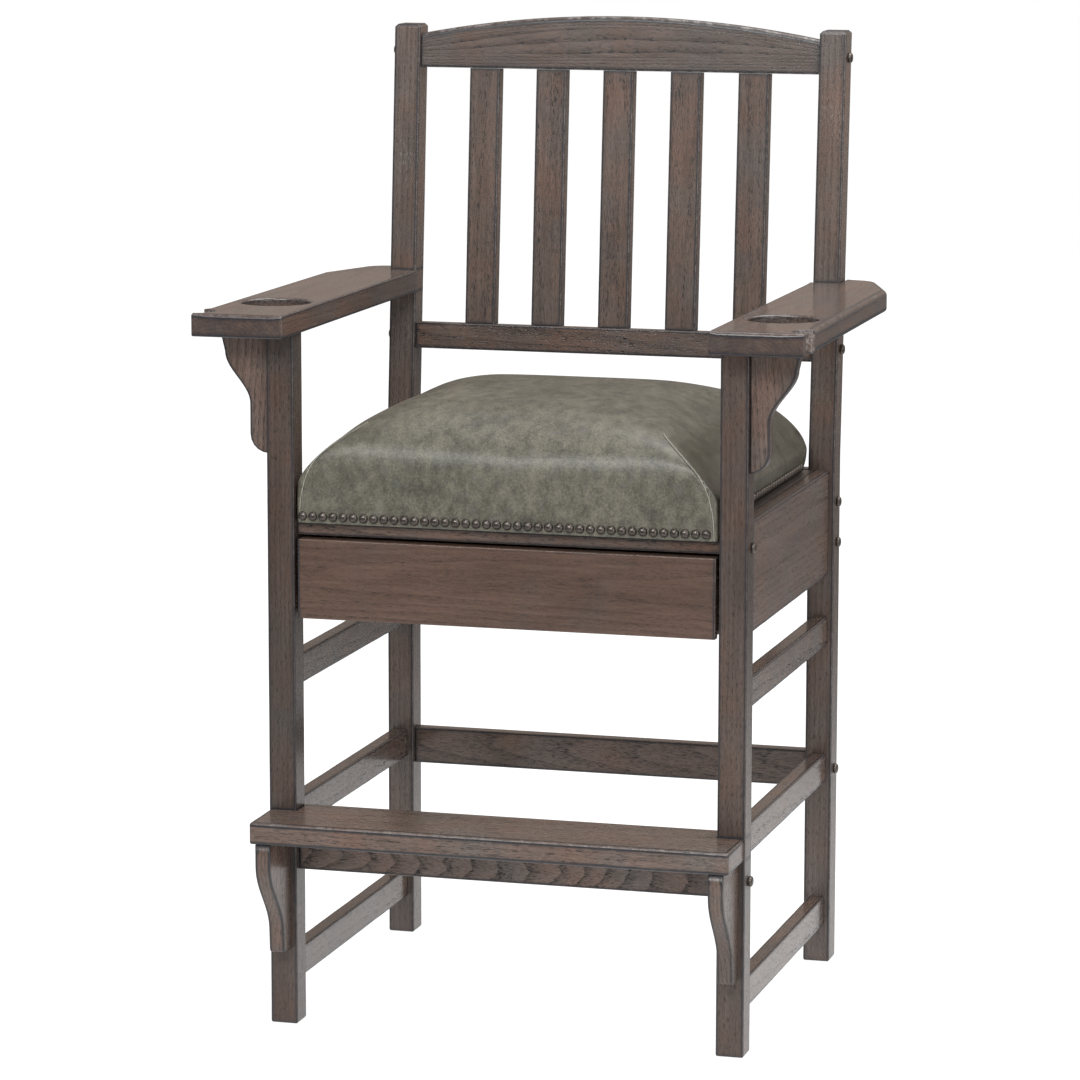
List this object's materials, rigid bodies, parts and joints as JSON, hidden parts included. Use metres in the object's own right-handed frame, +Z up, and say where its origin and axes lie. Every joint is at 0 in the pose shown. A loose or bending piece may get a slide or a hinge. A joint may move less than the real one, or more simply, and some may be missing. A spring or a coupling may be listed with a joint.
{
  "type": "bar height armchair",
  "caption": "Bar-height wooden armchair: wide arms with drink recesses and cue notches, a domed upholstered seat over a drawer, a slatted arched back and a foot board.",
  "frame": {"origin": "on the floor, under the middle of the whole chair's outline", "axes": "-Y is the way the sitter faces, +X the chair's left-to-right as seen from the front, +Z up"},
  "size_m": [0.748, 0.631, 1.2057],
  "materials": {
    "brown_oak": "satin",
    "inner_hardwood": "matte",
    "drawer_birch": "satin",
    "seat_plywood": "matte",
    "olive_leather": "satin",
    "dark_bronze": "satin"
  },
  "bodies": {
    "frame": {"arm_corbel_left": "brown_oak", "arm_corbel_right": "brown_oak", "arm_left": "brown_oak", "arm_right": "brown_oak", "back_post_left": "brown_oak", "back_post_right": "brown_oak", "back_slat_1": "brown_oak", "back_slat_2": "brown_oak", "back_slat_3": "brown_oak", "back_slat_4": "brown_oak", "back_slat_5": "brown_oak", "back_stretcher": "brown_oak", "bolt_crest_left": "dark_bronze", "bolt_crest_right": "dark_bronze", "bolt_foot_apron_left": "dark_bronze", "bolt_foot_apron_right": "dark_bronze", "bolt_lower_back_left": "dark_bronze", "bolt_lower_back_right": "dark_bronze", "bolt_seat_front_left": "dark_bronze", "bolt_seat_front_right": "dark_bronze", "bolt_seat_lower_left": "dark_bronze", "bolt_seat_lower_right": "dark_bronze", "bolt_seat_upper_left": "dark_bronze", "bolt_seat_upper_right": "dark_bronze", "bolt_stretcher_left": "dark_bronze", "bolt_stretcher_right": "dark_bronze", "corner_block_back_left": "inner_hardwood", "corner_block_back_right": "inner_hardwood", "corner_block_front_left": "inner_hardwood", "corner_block_front_right": "inner_hardwood", "crest_rail": "brown_oak", "drawer_runner_left": "inner_hardwood", "drawer_runner_right": "inner_hardwood", "drawer_stop": "inner_hardwood", "foot_apron": "brown_oak", "foot_board": "brown_oak", "foot_bracket_left": "brown_oak", "foot_bracket_right": "brown_oak", "front_leg_left": "brown_oak", "front_leg_right": "brown_oak", "lower_back_rail": "brown_oak", "seat_back_panel": "brown_oak", "seat_cleat_left": "inner_hardwood", "seat_cleat_right": "inner_hardwood", "seat_cushion": "olive_leather", "seat_deck": "seat_plywood", "seat_front_rail": "brown_oak", "side_panel_left": "brown_oak", "side_panel_right": "brown_oak", "side_rail_lower_left": "brown_oak", "side_rail_lower_right": "brown_oak", "side_rail_middle_left": "brown_oak", "side_rail_middle_right": "brown_oak", "side_rail_upper_left": "brown_oak", "side_rail_upper_right": "brown_oak"},
    "drawer": {"drawer_front": "brown_oak", "drawer_side_left": "drawer_birch", "drawer_side_right": "drawer_birch", "drawer_back": "drawer_birch", "drawer_bottom": "drawer_birch"}
  },
  "joints": [
    {"name": "drawer_slide", "type": "slide", "parent": "frame", "child": "drawer", "axis": [0, -1, 0], "range_m": [0, 0.32]}
  ]
}
